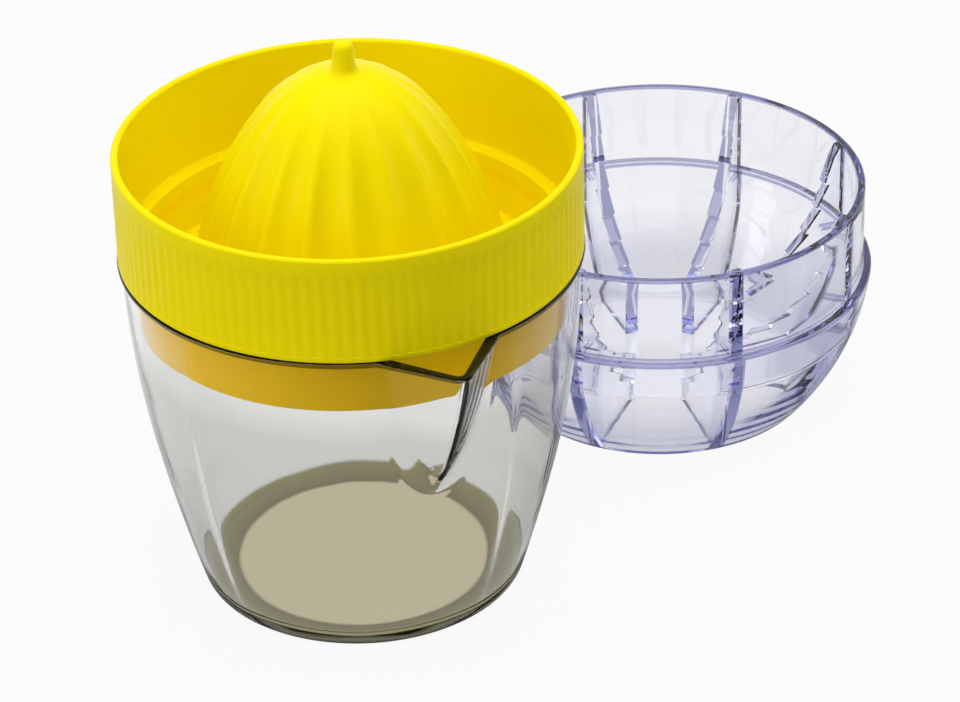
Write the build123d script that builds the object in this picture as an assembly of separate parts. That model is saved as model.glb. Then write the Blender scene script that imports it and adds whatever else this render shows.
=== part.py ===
from build123d import *
import math
import os

# Hand citrus squeezer in three moulded pieces, in millimetres, +Z up.
# The jug stands on the origin with its spout towards -Y. The reamer tray is plugged into its mouth.
# The press lid is taken off and stands upside down beside the jug, open side up.

# Jug: clear wall with eight shallow panels outside, round inside
JUG_HEIGHT = 84.0
JUG_RIM_RADIUS = 51.8
JUG_FOOT_RADIUS = 37.4
JUG_BELLY = 2.1  # power of the wall's curve from foot to rim
JUG_WALL = 1.8  # thinnest, at the middle of a panel
JUG_FLOOR = 3.0
JUG_FLOOR_ROUND = 8.0
JUG_FOOT_ROUND = 2.0
PANEL_COUNT = 8
PANEL_DEPTH = 1.8  # how far the middle of a panel lies inside its edges, at half height
JUG_BEAD = 0.8  # how far the bead round the rim stands out from the wall
JUG_BEAD_HEIGHT = 1.2
JUG_BEAD_ROUND = 0.4

# Pouring lip of the jug, in the middle of one panel
SPOUT_HALF_WIDTH = 14.3
SPOUT_REACH = 13.5
SPOUT_LENGTH = 40.0
SPOUT_TAPER = 0.4  # power of the lip's narrowing towards its lower end
SPOUT_TIP_ROUND = 3.0
SPOUT_WALL = 1.6
SPOUT_ROOT = 0.8  # depth of the lip's lower end inside the panel's face

# Collar of the reamer tray, above the jug's rim
SEAT_GAP = 0.2
COLLAR_OVERHANG = 0.6
COLLAR_HEIGHT = 25.1
COLLAR_WALL = 1.8
COLLAR_RIM_BAND = 4.0
COLLAR_RIM_ROUND = 0.7
COLLAR_FOOT_BAND = 1.2
GRIP_RIBS = 114
GRIP_RIB_HEIGHT = 0.2
LEDGE_THICKNESS = 2.0

# Plug and strainer floor of the tray, inside the jug's mouth
PLUG_DEPTH = 14.0
PLUG_CLEARANCE = 0.45
PLUG_WALL = 1.8
STRAINER_DROP = 11.2
STRAINER_THICKNESS = 1.8
STRAINER_SLOTS = 36
SLOT_WIDTH = 2.0
SLOT_SHARE = 0.7  # share of the strainer floor's width that a slot spans

# Fluted reamer dome of the tray
REAMER_RADIUS = 37.1
REAMER_HEIGHT = 56.4
REAMER_FLANK = 1.4  # powers of the dome's curve
REAMER_CROWN = 0.45
REAMER_CAP_RADIUS = 6.5
REAMER_WALL = 2.0
FLUTE_COUNT = 18
FLUTE_DEPTH = 2.8
FLUTE_RIDGE = 3.2  # width of a ridge at the foot of the dome
FLUTE_FADE = 5.0  # power of the flutes' fading towards the top
FLUTE_SHOULDER = 0.2  # how far down a flute a ridge's round back reaches
NUB_RADIUS = 2.75
NUB_TAPER = 0.6
NUB_HEIGHT = 7.0
NUB_ROUND = 1.6

# Press lid, upside down: crown on the table, open rim on top
LID_HEIGHT = 56.0
LID_SKIRT = 22.0  # depth of the skirt that goes into the collar
LID_CLEARANCE = 0.3
LID_WALL = 1.8
LID_CROWN_RADIUS = 38.0
LID_CROWN_THICKNESS = 2.0
LID_CROWN_ROUND = 1.5
LID_BULGE = 2.75
LID_STEP_DEPTH = 10.7  # height of the thick zone under the shoulder, where the straight inside ends
LID_INNER_BULGE = 1.2
LID_GAP = 7.34  # free space between the jug's wall and the lid's shoulder
LID_BEARING = 24.0
LID_TURN = -4.0

# Toothed fins inside the lid that grip the fruit
FIN_COUNT = 8
FIN_WIDTH = 3.4
FIN_RIM_GAP = 0.3
FIN_RIM_DEPTH = 1.5
FIN_LEAD_IN = 3.0  # height from the first tooth to the rim
CRADLE_RADIUS = 45.7  # of the round seat for the fruit that the inner edges lie on, centred in the rim's plane
FIN_END_RADIUS = 18.5  # inner end of a fin on the crown
FIN_TEETH = 7
FIN_TOOTH_DEPTH = 1.2

# Worked out from the sizes above
COLLAR_RADIUS = JUG_RIM_RADIUS + COLLAR_OVERHANG
COLLAR_BORE = COLLAR_RADIUS - COLLAR_WALL
SEAT_HEIGHT = JUG_HEIGHT + SEAT_GAP
STRAINER_HEIGHT = SEAT_HEIGHT - STRAINER_DROP
DOME_FOOT = STRAINER_HEIGHT - STRAINER_THICKNESS
LID_SKIRT_RADIUS = COLLAR_BORE - LID_CLEARANCE
LID_SHOULDER_HEIGHT = LID_HEIGHT - LID_SKIRT
STATIONS = 7  # cross-sections in each smooth wall
SPOUT_SHARES = (0.05, 0.25, 0.5, 0.75, 1)
DOME_SHARES = (0, 0.25, 0.5, 0.7, 0.85, 0.95, 1)  # closer together towards the crown
OVERRUN = 1.0  # how far a cutting shape runs past what it cuts


def polar(radius, degrees):
    """Point at a bearing counted from the spout's direction, -Y."""
    angle = math.radians(degrees - 90)
    return Vector(radius * math.cos(angle), radius * math.sin(angle))


def turned(*edges):
    """Solid of revolution about Z from edges drawn as (radius, height)."""
    return revolve(Plane.XZ * make_face(edges), Axis.Z)


def turned_outline(*corners):
    """Solid of revolution from a closed outline of (radius, height, rounding) corners."""
    points = [corner[:2] for corner in corners]
    rounds = [corner[2] for corner in corners]
    return turned(*FilletPolyline(*points, radius=rounds, close=True).edges())


def edge_radius(z):
    """Radius of the jug's outside at height z, on the edge between two panels."""
    swell = JUG_RIM_RADIUS - JUG_FOOT_RADIUS
    return JUG_RIM_RADIUS - swell * (1 - z / JUG_HEIGHT) ** JUG_BELLY


def panel_radius(z):
    """Radius of the jug's outside at height z, in the middle of a panel."""
    return edge_radius(z) - PANEL_DEPTH * math.sin(math.pi * z / JUG_HEIGHT)


def bore_radius(z):
    """Radius of the jug's round inside at height z."""
    return panel_radius(z) - JUG_WALL


def heights(low, high, count):
    """Evenly spaced heights from low to high."""
    return [low + (high - low) * k / (count - 1) for k in range(count)]


def jug_section(z):
    """Outline of the jug's outside at height z: one shallow arc for each panel."""
    pitch = 360 / PANEL_COUNT
    arcs = []
    for k in range(PANEL_COUNT):
        start = polar(edge_radius(z), (k - 0.5) * pitch)
        middle = polar(panel_radius(z), k * pitch)
        end = polar(edge_radius(z), (k + 0.5) * pitch)
        arcs.append(ThreePointArc(start, middle, end))
    return Pos(0, 0, z) * make_face(arcs)


def jug_body():
    """Filled outside of the jug, with its foot rounded."""
    body = loft([jug_section(z) for z in heights(0, JUG_HEIGHT, STATIONS)])
    foot = body.faces().sort_by(Axis.Z)[0]
    return fillet(foot.edges(), JUG_FOOT_ROUND)


def jug_bore():
    """Round inside of the jug, with a wide sweep between floor and wall."""
    points = [(bore_radius(z), z) for z in heights(JUG_FLOOR, JUG_HEIGHT, STATIONS)]
    mouth_radius = bore_radius(JUG_HEIGHT)
    top = JUG_HEIGHT + OVERRUN
    rest = Polyline(points[-1], (mouth_radius, top), (0, top), (0, JUG_FLOOR), points[0])
    bore = turned(Spline(*points), *rest.edges())
    floor_edge = bore.edges().group_by(Axis.Z)[0]
    return fillet(floor_edge, JUG_FLOOR_ROUND)


def rim_bead():
    """Bead round the outside of the jug's rim."""
    root = JUG_RIM_RADIUS - JUG_WALL / 2
    crest = JUG_RIM_RADIUS + JUG_BEAD
    low = JUG_HEIGHT - JUG_BEAD_HEIGHT
    return turned_outline(
        (root, low, 0),
        (crest, low, JUG_BEAD_ROUND),
        (crest, JUG_HEIGHT, JUG_BEAD_ROUND),
        (root, JUG_HEIGHT, 0),
    )


def spout_section(share, setback, slimming):
    """Rounded V of the lip, at a share of the way from its lower end to the rim."""
    z = JUG_HEIGHT - SPOUT_LENGTH * (1 - share)
    face = panel_radius(z) - setback
    reach = face - SPOUT_ROOT + (SPOUT_REACH + SPOUT_ROOT) * share
    half_width = (SPOUT_HALF_WIDTH - slimming) * share**SPOUT_TAPER
    corner = math.sqrt(face**2 - half_width**2)
    root = corner - 2 * JUG_WALL
    left, tip, right = (-half_width, -corner), (0, -reach), (half_width, -corner)
    sides = FilletPolyline(left, tip, right, radius=SPOUT_TIP_ROUND - slimming)
    back = Polyline(right, (half_width, -root), (-half_width, -root), left)
    return Pos(0, 0, z) * make_face([*sides.edges(), *back.edges()])


def spout(setback=0, slimming=0):
    """Lip from its lower end, inside the wall, up to the rim."""
    return loft([spout_section(share, setback, slimming) for share in SPOUT_SHARES])


def spout_channel():
    """Inside of the lip, open above the rim."""
    mouth = extrude(spout_section(1, JUG_WALL, SPOUT_WALL), OVERRUN)
    return spout(JUG_WALL, SPOUT_WALL) + mouth


def lip_bead():
    """The rim's bead carried on round the lip."""
    section = spout_section(1, -JUG_BEAD, -JUG_BEAD)
    return extrude(section, -JUG_BEAD_HEIGHT)


def jug():
    """Clear jug with its pouring lip and beaded rim."""
    outside = jug_body() + rim_bead() + spout() + lip_bead()
    inside = jug_bore() + spout_channel()
    return outside - inside


def dome_height(share):
    """Height of a share of the dome, counted from the underside of the strainer."""
    return DOME_FOOT + share * REAMER_HEIGHT


def reamer_radius(share):
    """Radius of the dome at a share of its height, on a ridge."""
    return REAMER_RADIUS * (1 - share**REAMER_FLANK) ** REAMER_CROWN


def reamer_section(share):
    """Outline of the dome at a share of its height: convex ridges and hollow flutes in turn."""
    ridge_radius = reamer_radius(share)
    hollow = FLUTE_DEPTH * ridge_radius / REAMER_RADIUS * (1 - share**FLUTE_FADE)
    pitch = 360 / FLUTE_COUNT
    half_ridge = math.degrees(FLUTE_RIDGE / REAMER_RADIUS) / 2
    shoulder_radius = ridge_radius - hollow * FLUTE_SHOULDER
    arcs = []
    for k in range(FLUTE_COUNT):
        bearing = k * pitch
        left = polar(shoulder_radius, bearing - half_ridge)
        right = polar(shoulder_radius, bearing + half_ridge)
        next_left = polar(shoulder_radius, bearing + pitch - half_ridge)
        arcs.append(ThreePointArc(left, polar(ridge_radius, bearing), right))
        arcs.append(ThreePointArc(right, polar(ridge_radius - hollow, bearing + pitch / 2), next_left))
    return Pos(0, 0, dome_height(share)) * make_face(arcs)


def reamer_dome():
    """Fluted dome, filled, with the nub on top."""
    cap = (1 - (REAMER_CAP_RADIUS / REAMER_RADIUS) ** (1 / REAMER_CROWN)) ** (1 / REAMER_FLANK)
    dome = loft([reamer_section(cap * share) for share in DOME_SHARES])
    cap_height = dome_height(cap)
    nub_foot = dome_height(1)
    nub_top = nub_foot + NUB_HEIGHT
    nub = turned_outline(
        (0, cap_height - OVERRUN, 0),
        (REAMER_CAP_RADIUS - NUB_TAPER, cap_height - OVERRUN, 0),
        (REAMER_CAP_RADIUS - NUB_TAPER, cap_height, 0),
        (NUB_RADIUS, nub_foot, NUB_ROUND),
        (NUB_RADIUS - NUB_TAPER, nub_top, NUB_ROUND),
        (0, nub_top, 0),
    )
    return dome + nub


def reamer_hollow():
    """Space under the dome, open below."""
    foot = REAMER_RADIUS - FLUTE_DEPTH - REAMER_WALL
    rise = REAMER_HEIGHT - 2 * REAMER_WALL
    points = []
    for share in DOME_SHARES:
        points.append((foot * reamer_radius(share) / REAMER_RADIUS, DOME_FOOT + share * rise))
    axis = Polyline(points[-1], (0, DOME_FOOT - OVERRUN), (foot, DOME_FOOT - OVERRUN), points[0])
    return turned(Spline(*points), *axis.edges())


def grip_ring(low, high):
    """Band of fine upright ribs round the collar."""
    pitch = 360 / GRIP_RIBS
    root = COLLAR_RADIUS - GRIP_RIB_HEIGHT
    arcs = []
    for k in range(GRIP_RIBS):
        left = polar(root, (k - 0.5) * pitch)
        right = polar(root, (k + 0.5) * pitch)
        arcs.append(ThreePointArc(left, polar(COLLAR_RADIUS, k * pitch), right))
    ring = make_face(arcs) - Circle(COLLAR_BORE + COLLAR_WALL / 3)
    return Pos(0, 0, low) * extrude(ring, high - low)


def tray_basin():
    """Collar, ledge, plug and strainer floor, without the reamer."""
    top = SEAT_HEIGHT + COLLAR_HEIGHT
    ledge = SEAT_HEIGHT + LEDGE_THICKNESS
    grip_low = SEAT_HEIGHT + COLLAR_FOOT_BAND
    grip_high = top - COLLAR_RIM_BAND
    grip_root = COLLAR_RADIUS - COLLAR_WALL / 2
    plug_bottom = SEAT_HEIGHT - PLUG_DEPTH
    plug_top_radius = bore_radius(JUG_HEIGHT) - PLUG_CLEARANCE
    plug_low_radius = bore_radius(plug_bottom) - PLUG_CLEARANCE
    floor_inner = REAMER_RADIUS - FLUTE_DEPTH - REAMER_WALL / 2
    basin = turned_outline(
        (COLLAR_RADIUS, SEAT_HEIGHT, 0),
        (COLLAR_RADIUS, grip_low, 0),
        (grip_root, grip_low, 0),
        (grip_root, grip_high, 0),
        (COLLAR_RADIUS, grip_high, 0),
        (COLLAR_RADIUS, top, COLLAR_RIM_ROUND),
        (COLLAR_BORE, top, COLLAR_RIM_ROUND),
        (COLLAR_BORE, ledge, 0),
        (plug_top_radius - PLUG_WALL, ledge, COLLAR_RIM_ROUND),
        (plug_low_radius - PLUG_WALL, STRAINER_HEIGHT, COLLAR_RIM_ROUND),
        (floor_inner, STRAINER_HEIGHT, 0),
        (floor_inner, DOME_FOOT, 0),
        (plug_low_radius - PLUG_WALL, DOME_FOOT, 0),
        (plug_low_radius - PLUG_WALL, plug_bottom, 0),
        (plug_low_radius, plug_bottom, 0),
        (plug_top_radius, SEAT_HEIGHT, 0),
    )
    return basin + grip_ring(grip_low, grip_high)


def strainer_slots():
    """Ring of radial slots through the strainer floor."""
    floor_outer = bore_radius(SEAT_HEIGHT - PLUG_DEPTH) - PLUG_CLEARANCE - PLUG_WALL
    length = (floor_outer - REAMER_RADIUS) * SLOT_SHARE
    slot = Box(length, SLOT_WIDTH, STRAINER_THICKNESS + 2 * OVERRUN)
    middle = DOME_FOOT + STRAINER_THICKNESS / 2
    places = PolarLocations((floor_outer + REAMER_RADIUS) / 2, STRAINER_SLOTS)
    return [Pos(0, 0, middle) * place * slot for place in places]


def reamer_tray():
    """Yellow tray: ribbed collar, plug, strainer and fluted reamer in one moulding."""
    tray = tray_basin() + reamer_dome()
    return tray - reamer_hollow() - strainer_slots()


def lid_outside():
    """Outside of the lid as a filled shape: flat crown, bulged shoulder and straight skirt."""
    crown = (LID_CROWN_RADIUS, 0)
    shoulder = (COLLAR_RADIUS, LID_SHOULDER_HEIGHT)
    bulge = SagittaArc(crown, shoulder, -LID_BULGE)
    skirt = Polyline(
        shoulder,
        (LID_SKIRT_RADIUS, LID_SHOULDER_HEIGHT),
        (LID_SKIRT_RADIUS, LID_HEIGHT),
        (0, LID_HEIGHT),
        (0, 0),
        crown,
    )
    outside = turned(bulge, *skirt.edges())
    crown_edge = outside.edges().group_by(Axis.Z)[0]
    return fillet(crown_edge, LID_CROWN_ROUND)


def lid_inside():
    """Hollow of the lid, open at the rim."""
    bore = LID_SKIRT_RADIUS - LID_WALL
    crown = (LID_CROWN_RADIUS - LID_WALL, LID_CROWN_THICKNESS)
    bend = (bore, LID_SHOULDER_HEIGHT - LID_STEP_DEPTH)
    top = LID_HEIGHT + OVERRUN
    bulge = SagittaArc(crown, bend, -LID_INNER_BULGE)
    rest = Polyline(bend, (bore, top), (0, top), (0, LID_CROWN_THICKNESS), crown)
    return turned(bulge, *rest.edges())


def cradle_point(radius, angle):
    """Point of the round seat for the fruit, as (radius, height), at an angle below the rim's plane."""
    return (radius * math.cos(angle), LID_HEIGHT - radius * math.sin(angle))


def fin_teeth():
    """Saw-toothed inner edge of a fin, along the seat for the fruit, from the rim downwards."""
    first = math.asin(FIN_LEAD_IN / CRADLE_RADIUS)
    last = math.acos(FIN_END_RADIUS / CRADLE_RADIUS)
    pitch = (last - first) / FIN_TEETH
    points = [cradle_point(CRADLE_RADIUS, first)]
    for k in range(FIN_TEETH):
        angle = first + (k + 1) * pitch
        points.append(cradle_point(CRADLE_RADIUS - FIN_TOOTH_DEPTH, angle))
        points.append(cradle_point(CRADLE_RADIUS, angle))
    return points


def lid_fin():
    """One toothed fin, from its inner edge out past the wall."""
    top = LID_HEIGHT - FIN_RIM_GAP
    foot = LID_CROWN_THICKNESS / 2
    reach = COLLAR_RADIUS + OVERRUN
    shoulder = LID_SKIRT_RADIUS - LID_WALL - FIN_RIM_DEPTH
    ends = [(FIN_END_RADIUS, foot), (reach, foot)]
    points = [(reach, top), (shoulder, top), *fin_teeth(), *ends]
    blade = Plane.XZ * make_face(Polyline(*points, close=True).edges())
    return extrude(blade, FIN_WIDTH / 2, both=True)


def press_lid():
    """Clear lid, upside down on its crown beside the jug."""
    outside = lid_outside()
    fin = lid_fin() & outside
    fins = [place * fin for place in PolarLocations(0, FIN_COUNT)]
    lid = outside - lid_inside() + fins
    bearing = math.radians(LID_BEARING)
    distance = edge_radius(LID_SHOULDER_HEIGHT) + LID_GAP + COLLAR_RADIUS
    place = Pos(distance * math.cos(bearing), distance * math.sin(bearing), 0)
    return place * Rot(0, 0, LID_TURN) * lid


def main():
    """Writes each piece to its own file."""
    os.makedirs("parts", exist_ok=True)
    export_step(jug(), "parts/jug.step")
    export_step(reamer_tray(), "parts/reamer_tray.step")
    export_step(press_lid(), "parts/press_lid.step")


if __name__ == "__main__":
    main()
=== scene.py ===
import math

import bpy
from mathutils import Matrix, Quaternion, Vector, kdtree


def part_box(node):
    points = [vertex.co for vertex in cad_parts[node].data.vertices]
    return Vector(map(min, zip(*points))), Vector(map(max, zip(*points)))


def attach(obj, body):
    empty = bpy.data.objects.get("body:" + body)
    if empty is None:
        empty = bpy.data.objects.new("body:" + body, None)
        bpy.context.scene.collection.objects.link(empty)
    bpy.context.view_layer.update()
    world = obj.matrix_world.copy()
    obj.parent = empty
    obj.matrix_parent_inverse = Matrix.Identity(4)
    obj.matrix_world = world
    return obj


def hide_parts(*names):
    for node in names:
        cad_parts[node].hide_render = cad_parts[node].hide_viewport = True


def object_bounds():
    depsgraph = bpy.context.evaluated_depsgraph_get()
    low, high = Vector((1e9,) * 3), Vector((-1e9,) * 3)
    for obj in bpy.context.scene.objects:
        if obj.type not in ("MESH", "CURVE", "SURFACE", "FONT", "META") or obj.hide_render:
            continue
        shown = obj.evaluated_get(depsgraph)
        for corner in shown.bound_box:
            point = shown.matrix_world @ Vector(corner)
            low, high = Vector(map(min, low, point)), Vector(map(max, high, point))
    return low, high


bl_info = {
    "name": "Citrus squeezer",
    "version": (1, 0, 0),
    "blender": (4, 5, 0),
    "location": "3D View > Sidebar > Squeezer",
    "description": "Clear pouring jug, yellow reamer tray and clear press lid of a hand citrus squeezer",
    "category": "Add Mesh",
}

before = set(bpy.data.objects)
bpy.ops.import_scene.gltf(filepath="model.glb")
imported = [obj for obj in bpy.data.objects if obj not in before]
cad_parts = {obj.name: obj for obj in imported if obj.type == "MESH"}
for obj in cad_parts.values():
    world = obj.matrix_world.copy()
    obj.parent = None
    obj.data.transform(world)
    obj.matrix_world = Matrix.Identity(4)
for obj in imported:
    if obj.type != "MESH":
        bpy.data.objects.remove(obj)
CAD_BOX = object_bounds()
JUG_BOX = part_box("jug")
TRAY_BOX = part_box("reamer_tray")
LID_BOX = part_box("press_lid")

MM = 0.001
SMOOTH_ANGLE = math.radians(32)
MERGE_DISTANCE = 0.002 * MM
COVE_TRIES = 4

# Plastics: how strongly each bends light, and where the shade painted into their colours changes
POLYPROPYLENE_IOR = 1.49
ACRYLIC_IOR = 1.49
POLYCARBONATE_IOR = 1.58
CLEAR = WHITE = (1, 1, 1, 1)
BLACK = (0, 0, 0, 1)
PLUG_FADE = 2 * MM
PLUG_SKIN = 1.2 * MM
RING_FADE = 0.5 * MM
FOOT_FADE = (0.8 * MM, 1.8 * MM)
CLEAR_FADE = 8 * MM
RIM_FADE = 0.3 * MM
CROWN_FADE = (10 * MM, 22 * MM)
SHOULDER_LINE = (0.9 * MM, 0.1 * MM)
RIM_LINE = 0.8 * MM
LINE_FADE = 0.2 * MM
FIN_EDGE = 0.3 * MM
CONE_INSET = 2 * MM
CONE_LEAN = 0.2
CONE_FADE = 0.5 * MM

# Stage: the floor, what is dim in mirrors, and name, place, width and power of each lamp
FLOOR_SIZE = 8.0
FLOOR_GAP = 0.1 * MM
DIM_FLOOR = 150 * MM
DIM_FRONT = 0.6
CEILING_RISE = (0.35, 0.8)
LAMPS = (
    ("Overhead", (0.0, 0.0, 1.0), 1.2, 10.0),
    ("Left fill", (-0.8, -0.1, 0.35), 0.5, 1.7),
    ("Right fill", (0.9, -0.1, 0.4), 0.5, 1.5),
)


def length(name, description, millimetres):
    """Length property whose default is given in millimetres."""
    return bpy.props.FloatProperty(
        name=name, description=description, default=millimetres * MM, unit="LENGTH", precision=5
    )


def ratio(name, description, default):
    """Plain number without a unit."""
    return bpy.props.FloatProperty(name=name, description=description, default=default)


def angle(name, description, degrees):
    """Angle property whose default is given in degrees."""
    return bpy.props.FloatProperty(
        name=name, description=description, default=math.radians(degrees), unit="ROTATION"
    )


def count(name, description, default):
    """Whole number of like features."""
    return bpy.props.IntProperty(name=name, description=description, default=default, min=1)


def linear(hex_code):
    """Linear colour with alpha 1 for an sRGB hex value."""
    channels = [int(hex_code[k : k + 2], 16) / 255 for k in (1, 3, 5)]
    straight = [c / 12.92 if c <= 0.04045 else ((c + 0.055) / 1.055) ** 2.4 for c in channels]
    return (*straight, 1.0)


def colour(name, description, hex_code):
    """Colour property whose default is given as an sRGB hex value."""
    return bpy.props.FloatVectorProperty(
        name=name, description=description, default=linear(hex_code), subtype="COLOR", size=4, min=0, max=1
    )


class JugSizes(bpy.types.PropertyGroup):
    """Sizes of the clear jug, whose height comes from the frame."""

    rim_radius: length("Rim radius", "Outside of the wall at the rim", 51.8)
    foot_radius: length("Foot radius", "Outside of the wall at the foot", 37.4)
    belly: ratio("Belly", "Power of the wall's curve from foot to rim", 2.1)
    wall: length("Wall", "Thickness in the middle of a panel", 1.8)
    floor: length("Floor", "Thickness of the floor", 2.2)
    floor_round: length("Floor round", "Sweep between floor and wall inside", 3.5)
    foot_round: length("Foot round", "Rounding of the foot outside", 2.0)
    panels: count("Panels", "Shallow panels round the outside", 8)
    panel_depth: length("Panel depth", "How far a panel's middle lies inside its edges", 1.8)
    panel_round: length("Panel round", "Softness of the edges between panels", 1.1)
    inner_panels: ratio("Inner panels", "Share of the panels' depth that the inside follows", 0.88)
    bead: length("Bead", "How far the rim's bead stands out", 0.8)
    bead_height: length("Bead height", "Height of the rim's bead", 1.2)
    bead_round: length("Bead round", "Rounding of the rim's bead", 0.4)
    lip_half_width: length("Lip half width", "Half the width of the pouring lip at the rim", 14.3)
    lip_reach: length("Lip reach", "How far the lip's tip stands out from the panel", 13.5)
    lip_length: length("Lip length", "Height of the lip from its lower end to the rim", 40.0)
    lip_taper: ratio("Lip taper", "Power of the lip's narrowing towards its lower end", 0.3)
    lip_rise: ratio("Lip rise", "Power of the lip's standing out from its lower end to the rim", 0.65)
    lip_round: length("Lip round", "Rounding of the lip's outer fold", 3.0)
    lip_slimming: length("Lip slimming", "How much narrower the lip is inside, on each side", 1.6)
    lip_root: length("Lip root", "Depth of the lip's lower end inside the panel", 0.3)
    lip_blend: length("Lip blend", "Softness of the join between lip and wall at the lip's lower end", 2.5)
    lip_crease: length("Lip crease", "Softness of the join between lip and wall at the rim", 1.0)
    columns: count("Columns", "Mesh columns round the jug", 608)


class TraySizes(bpy.types.PropertyGroup):
    """Sizes of the yellow tray, whose collar radius comes from the frame."""

    seat: length("Seat", "Height of the collar's underside", 84.2)
    collar_height: length("Collar height", "Height of the collar", 25.1)
    collar_wall: length("Collar wall", "Thickness of the collar", 1.8)
    rim_round: length("Rim round", "Rounding of the rim and of the ledge", 0.7)
    rim_band: length("Rim band", "Plain band above the ribs", 4.0)
    foot_band: length("Foot band", "Plain band below the ribs", 1.2)
    ribs: count("Ribs", "Fine upright ribs round the collar", 114)
    rib_height: length("Rib height", "How far a rib stands out", 0.2)
    ledge: length("Ledge", "Thickness of the ledge between collar and plug", 2.0)
    plug_top_radius: length("Plug top radius", "Outside of the plug under the collar", 49.55)
    plug_low_radius: length("Plug low radius", "Outside of the plug at its lower edge", 48.34)
    plug_depth: length("Plug depth", "How far the plug reaches into the jug", 14.0)
    plug_wall: length("Plug wall", "Thickness of the plug", 1.8)
    strainer_drop: length("Strainer drop", "Depth of the strainer floor below the seat", 11.2)
    strainer_thickness: length("Strainer thickness", "Thickness of the strainer floor", 1.8)
    slots: count("Slots", "Radial slots through the strainer floor", 36)
    slot_width: length("Slot width", "Width of a slot", 2.0)
    slot_share: ratio("Slot share", "Share of the strainer floor's width that a slot spans", 0.7)
    edge_round: length("Edge round", "Rounding of the lower edges", 0.3)
    dome_radius: length("Dome radius", "Radius of the dome at its foot, on a ridge", 37.1)
    dome_height: length("Dome height", "Height of the dome above the strainer's underside", 56.4)
    dome_flank: ratio("Dome flank", "Power of the dome's curve along its flank", 1.4)
    dome_crown: ratio("Dome crown", "Power of the dome's curve round its crown", 0.45)
    dome_wall: length("Dome wall", "Thickness of the dome under its flutes", 2.0)
    cap_radius: length("Cap radius", "Radius of the plain cap above the flutes", 6.5)
    flutes: count("Flutes", "Hollow flutes round the dome", 18)
    flute_depth: length("Flute depth", "Depth of a flute at the dome's foot", 2.8)
    ridge_width: length("Ridge width", "Width of a ridge at the dome's foot", 3.2)
    flute_fade: ratio("Flute fade", "Power of the flutes' fading towards the top", 5.0)
    ridge_shoulder: ratio("Ridge shoulder", "How far down a flute a ridge's round back reaches", 0.2)
    nub_radius: length("Nub radius", "Radius of the nub at its foot", 2.75)
    nub_taper: length("Nub taper", "How much narrower the nub is at its top", 0.6)
    nub_height: length("Nub height", "Height of the nub above the dome", 7.0)
    nub_round: length("Nub round", "Rounding of the nub's foot and top", 1.6)
    columns: count("Columns", "Mesh columns round the tray, six for each rib", 684)


class LidSizes(bpy.types.PropertyGroup):
    """Sizes of the clear press lid, whose place, shoulder radius and height come from the frame."""

    crown_radius: length("Crown radius", "Radius of the flat crown it stands on", 38.0)
    crown_thickness: length("Crown thickness", "Thickness of the crown", 2.0)
    crown_round: length("Crown round", "Rounding of the crown's edge", 1.5)
    bulge: length("Bulge", "How far the shoulder's flank bows out", 2.75)
    step_depth: length("Step depth", "Height of the thick zone under the shoulder", 10.7)
    inner_bulge: length("Inner bulge", "How far the flank bows out inside", 1.2)
    skirt: length("Skirt", "Height of the skirt that goes into the collar", 22.0)
    step: length("Step", "How far the skirt lies inside the shoulder", 2.1)
    wall: length("Wall", "Thickness of the wall", 1.8)
    edge_round: length("Edge round", "Rounding of the rim and shoulder", 0.45)
    turn: angle("Turn", "Bearing of the first fin from +X", -4.0)
    fins: count("Fins", "Toothed fins inside", 8)
    fin_width: length("Fin width", "Thickness of a fin", 3.4)
    fin_gap: length("Fin gap", "Distance of a fin's top below the rim", 0.3)
    fin_rim_depth: length("Fin rim depth", "Depth of a fin at its top", 1.5)
    fin_lead: length("Fin lead", "Height from the first tooth to the rim", 3.0)
    fin_bevel: length("Fin bevel", "Rounding of a fin's inner edge", 0.35)
    cradle: length("Cradle", "Radius of the round seat for the fruit, centred in the rim's plane", 45.7)
    fin_end: length("Fin end", "Inner end of a fin on the crown", 18.5)
    teeth: count("Teeth", "Teeth on each fin", 7)
    tooth_depth: length("Tooth depth", "How far a tooth stands into the seat", 1.2)
    columns: count("Columns", "Mesh columns from one fin to the next", 60)


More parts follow.
